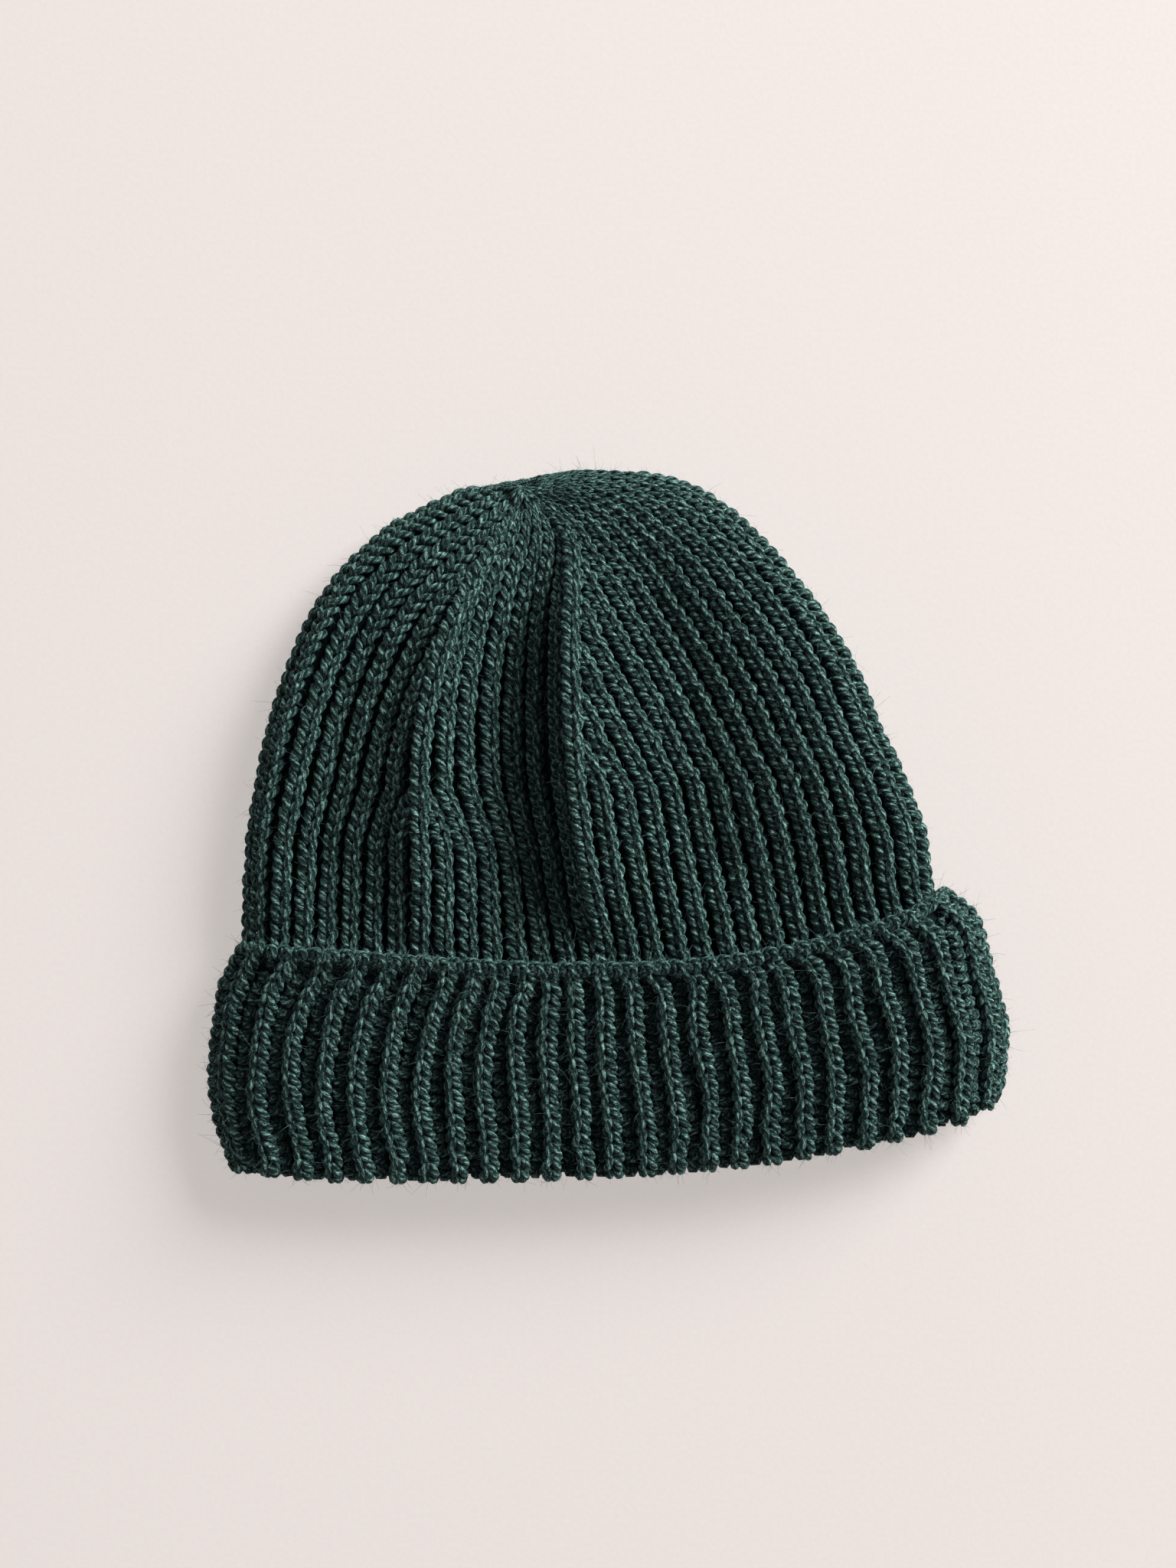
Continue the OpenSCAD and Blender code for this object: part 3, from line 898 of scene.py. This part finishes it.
def fuzz(name, tubes, material):
    """Loose fibres that stand off the yarn of some tubes, as thin bent prisms."""
    centres = np.concatenate([c.reshape(-1, 3) for c, _, _ in tubes])
    along = np.concatenate([unit(np.gradient(c, axis=1)).reshape(-1, 3) for c, _, _ in tubes])
    radius = np.concatenate([r.reshape(-1) for _, r, _ in tubes])
    pick = rng.integers(0, len(centres), FIBRES)
    out = rng.normal(0, 1, (FIBRES, 3))
    out = unit(out - (out * along[pick]).sum(1)[:, None] * along[pick])
    start = centres[pick] + out * radius[pick][:, None] * 0.9
    lay = along[pick] * rng.normal(0, 1.0, (FIBRES, 1)) + rng.normal(0, 0.5, (FIBRES, 3))
    heading = unit(out * rng.uniform(0.3, 1.0, (FIBRES, 1)) + lay)
    length = rng.uniform(FIBRE_MIN, FIBRE_MAX, (FIBRES, 1, 1))
    t = np.linspace(0, 1, 3)
    curl = rng.normal(0, FIBRE_CURL, (FIBRES, 1, 3))
    lines = start[:, None] + (heading[:, None] * t[None, :, None] + curl * t[None, :, None]**2) * length
    lines[..., 2] = np.maximum(lines[..., 2], FIBRE_R)
    thin = FIBRE_R * (1 - 0.6 * t)
    return tube_mesh(name, [(lines, np.broadcast_to(thin, (FIBRES, len(t))), 3)], material)


# ---------------------------------------------------------------- pieces

knit_yarn = yarn_material("rib_yarn")
lining = lining_material()
fibre = fibre_material()


def riding(piece, body, slot, *nodes):
    """A piece that stays still on one body and stands for some CAD nodes."""
    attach(piece, body)
    if nodes:
        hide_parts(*nodes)
    return piece


def unrolling(piece, body, slot, *nodes):
    """A piece of the cuff, with its place baked into its mesh, that stands for some CAD nodes."""
    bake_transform(piece)
    if nodes:
        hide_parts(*nodes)
    return piece


def knit(name, courses, detail=FINE, upside_down=False):
    """A piece of knitting made of the stitches of its courses, and the tubes of its yarn."""
    rings, sides = detail
    tubes = [(*stitch_tubes(course, rings, upside_down), sides) for course in courses]
    return tube_mesh(name, tubes, knit_yarn), tubes


def ground(name, grids, body):
    """The dark purl ground between the ribs, the sheet that the stitches stand on."""
    piece = cloth(name, *grids, lining)
    if body == "shell":
        return riding(piece, body, "rib_knit")
    return unrolling(piece, body, "rib_knit")


def make_body():
    """The front's fields, sides and ridges, the back's three parts, their fibres and their ground."""
    wales = {
        "front_left": zone_wales(LEFT_ZONE, LEFT_PITCHES, LEFT_MERGES, True),
        "front_middle": zone_wales(MIDDLE_ZONE, MIDDLE_PITCHES, MIDDLE_MERGES, False),
        "front_right": zone_wales(RIGHT_ZONE, RIGHT_PITCHES, RIGHT_MERGES, False, LEAN),
    }
    sides = {
        "left_side": [side_wale(LEFT_ZONE, LEFT_SIDE), edge_wale(LEFT_EDGE, -1)],
        "right_side": [side_wale(RIGHT_ZONE, RIGHT_SIDE), edge_wale(RIGHT_EDGE, 1)],
    }
    shown, on_front, on_back = [], [], []
    for name, courses in wales.items():
        piece, tubes = knit(name + "_knit", courses)
        on_front.append(riding(piece, "shell", "rib_knit", name + "_gore"))
        shown += tubes
    for name, courses in sides.items():
        piece, tubes = knit(name + "_knit", courses)
        on_front.append(riding(piece, "shell", "rib_knit"))
        shown += tubes
    ridges = {
        "left_decrease_ridge": line_wale(MIDDLE_ZONE, offset=0.0, rise=1.0),
        "centre_decrease_ridge": line_wale(RIGHT_ZONE, offset=0.3, rise=1.6),
    }
    for node, course in ridges.items():
        piece, tubes = knit(node + "_knit", [course])
        on_front.append(riding(piece, "shell", "rib_knit", node))
        shown += tubes
    places = np.split(even_places(BACK_WALES) * BACK_REACH, 3)
    for name, part in zip(("back_left", "back_middle", "back_right"), places):
        piece, _ = knit(name + "_knit", back_wales(part), PLAIN)
        on_back.append(riding(piece, "shell", "rib_knit", name + "_gore"))
    on_front.append(riding(fuzz("body_fibres", shown, fibre), "shell", "rib_knit"))
    ground("front_purl_ground", front_lining(), "shell")
    ground("back_purl_ground", back_lining(), "shell")


def make_cuff_front():
    """The front of the cuff with its bottom fold: ribs, purl columns, cast-on chain, fibres and ground."""
    courses = [cuff_front_course(u) for u in RIB_PLACES]
    ribs, shown = knit("cuff_front_knit", courses, FINE, True)
    unrolling(ribs, "cuff_front", "rib_knit", "cuff_front", "front_fold")
    courses = [cuff_front_course(u, PURL_W, PURL_DEPTH, PURL_END, True) for u in PURL_PLACES]
    purl, _ = knit("cuff_front_purl_knit", courses, PLAIN, True)
    unrolling(purl, "cuff_front", "rib_knit")
    course = edge_chain(lambda u, s: cuff_front_point(u, s, CHAIN_RISE), -1)
    chain, tubes = knit("cast_on_edge_front_chain", [course])
    riding(chain, "cuff_front", "cast_on_edge", "cast_on_edge_front")
    fibres = unrolling(fuzz("cuff_front_fibres", shown + tubes, fibre), "cuff_front", "rib_knit")
    ground("cuff_front_ground", cuff_front_lining(), "cuff_front")


def make_cuff_back():
    """The back of the cuff with its bottom fold: ribs, purl columns, cast-on chain and ground."""
    courses = [cuff_back_course(u, False) for u in even_places(CUFF_RIBS)]
    ribs, _ = knit("cuff_back_knit", courses, PLAIN, True)
    unrolling(ribs, "cuff_back", "rib_knit", "cuff_back", "back_fold")
    courses = [cuff_back_course(u, True) for u in PURL_PLACES]
    purl, _ = knit("cuff_back_purl_knit", courses, PLAIN, True)
    unrolling(purl, "cuff_back", "rib_knit")
    course = edge_chain(lambda u, s: cuff_back_point(u * BACK_CHAIN_REACH, s, BACK_CUFF_Z), 1)
    chain, _ = knit("cast_on_edge_back_chain", [course], PLAIN)
    riding(chain, "cuff_back", "cast_on_edge", "cast_on_edge_back")
    ground("cuff_back_ground", cuff_back_lining(), "cuff_back")


def gather_middle():
    """Where the crown's last stitches are drawn together."""
    middle = (curve(LEFT_EDGE, CROWN) + curve(RIGHT_EDGE, CROWN)) / 2 - GATHER_SHIFT
    return np.append(middle, GATHER_Z)


def make_gather():
    """A ring of yarn at the crown, and over it the star of stitches that it draws together."""
    turn = np.linspace(0, 2 * np.pi, 40, endpoint=False)
    ring = np.stack([np.cos(turn), np.sin(turn), GATHER_WAVE * np.sin(3 * turn)], -1)
    ring = gather_middle() + ring * GATHER_R
    ring = np.concatenate([ring, ring[:2]])
    ring_tube = (ring[None], np.full((1, len(ring)), YARN_R * GATHER_YARN), 10)
    angle = np.linspace(STAR_FROM, STAR_TO, STAR_STRANDS) + rng.normal(0, 4, STAR_STRANDS)
    angle = np.radians(angle)[:, None]
    t = np.linspace(0, 1, 10)
    reach = STAR_R * t * rng.uniform(0.7, 1.1, (STAR_STRANDS, 1))
    height = STAR_Z + STAR_ARCH * np.sin(np.pi * t) + STAR_TILT * t * -np.sin(angle) - STAR_DROOP * t**3
    strands = gather_middle() + np.stack([reach * np.cos(angle), reach * np.sin(angle), height], -1)
    star = (strands, np.full((STAR_STRANDS, len(t)), YARN_R * STAR_YARN), 8)
    piece = tube_mesh("crown_gather_yarn", [ring_tube, star], knit_yarn)
    riding(piece, "shell", "rib_knit", "crown_gather")


def make_closing_yarn():
    """The closing yarn's end, coiled inside the crown."""
    turn = np.linspace(0, COIL_TURNS * 2 * np.pi, 90)
    reach = np.linspace(*COIL_R, len(turn))
    coil = np.stack([np.cos(turn) * reach, np.sin(turn) * reach, -COIL_SINK * turn], -1)
    coil = gather_middle() - [0, 0, COIL_DROP] + coil
    tube = (coil[None], np.full((1, len(coil)), YARN_R * COIL_YARN), 10)
    riding(tube_mesh("closing_yarn_coil", [tube], knit_yarn), "shell", "yarn", "closing_yarn")


make_body()
make_cuff_front()
make_cuff_back()
make_gather()
make_closing_yarn()


# ---------------------------------------------------------------- floor, light and camera

# The floor, in metres: its radius, the radius of its bend up into the wall, and the wall's height
FLOOR_R = 4.0
WALL_BEND = 1.2
WALL_H = 2.6
FLOOR_SIDES = 96

# The camera, in millimetres: height of its frame at the hat's middle height, and where its middle is
FRAME_H = 454
FRAME_X = -5.8
FRAME_Y = 11.1
HAT_MIDDLE_Z = 12


def make_floor():
    """A round floor whose rim sweeps up into a low wall, in metres."""
    turn = np.linspace(0, 2 * np.pi, FLOOR_SIDES, endpoint=False)
    bend = np.linspace(0, np.pi / 2, 12)
    # Radius and height of each ring, from a tiny one in the middle outwards
    profile = [(0.01, 0), (1, 0)]
    profile += [(FLOOR_R + WALL_BEND * math.sin(b), WALL_BEND * (1 - math.cos(b))) for b in bend]
    profile.append((FLOOR_R + WALL_BEND, WALL_H))
    points = [(r * math.cos(a), r * math.sin(a), z) for r, z in profile for a in turn]
    faces = []
    for first in range(0, (len(profile) - 1) * FLOOR_SIDES, FLOOR_SIDES):
        for j in range(FLOOR_SIDES):
            k = (j + 1) % FLOOR_SIDES
            faces.append([first + j, first + k, first + FLOOR_SIDES + k, first + FLOOR_SIDES + j])
    faces.append(list(range(FLOOR_SIDES)))
    mesh = bpy.data.meshes.new("floor")
    mesh.from_pydata(points, [], faces)
    mesh.polygons.foreach_set("use_smooth", [True] * len(faces))
    mesh.materials.append(floor_material())
    floor = bpy.data.objects.new("floor", mesh)
    bpy.context.scene.collection.objects.link(floor)


def make_world():
    """A faint even light from all sides."""
    world = bpy.data.worlds.new("studio")
    bpy.context.scene.world = world
    world.use_nodes = True
    background = world.node_tree.nodes["Background"]
    background.inputs["Color"].default_value = (1.0, 0.99, 0.98, 1)
    background.inputs["Strength"].default_value = 0.14


def area_light(name, place, size, energy, colour):
    """A square light at a place in metres that shines at the origin."""
    data = bpy.data.lights.new(name, "AREA")
    data.size = size
    data.energy = energy
    data.color = colour
    light = bpy.data.objects.new(name, data)
    light.location = place
    toward = -np.array(place)
    light.rotation_euler = (math.acos(-toward[2] / np.linalg.norm(toward)), 0,
                            math.atan2(-toward[1], -toward[0]) + math.pi / 2)
    bpy.context.scene.collection.objects.link(light)


def make_camera():
    """Straight above the hat, as far as its lens needs to see the whole frame."""
    data = bpy.data.cameras.new("camera")
    data.lens = 50
    data.sensor_width = 36
    camera = bpy.data.objects.new("camera", data)
    distance = FRAME_H * MM * data.lens / data.sensor_width
    camera.location = (FRAME_X * MM, FRAME_Y * MM, distance + HAT_MIDDLE_Z * MM)
    bpy.context.scene.collection.objects.link(camera)
    bpy.context.scene.camera = camera


make_floor()
make_world()
area_light("window", place=(2.05, 1.75, 1.38), size=1.5, energy=165.0, colour=(1.0, 0.99, 0.97))
make_camera()
bpy.context.scene.view_settings.view_transform = "Standard"
bpy.context.scene.view_settings.gamma = 0.85
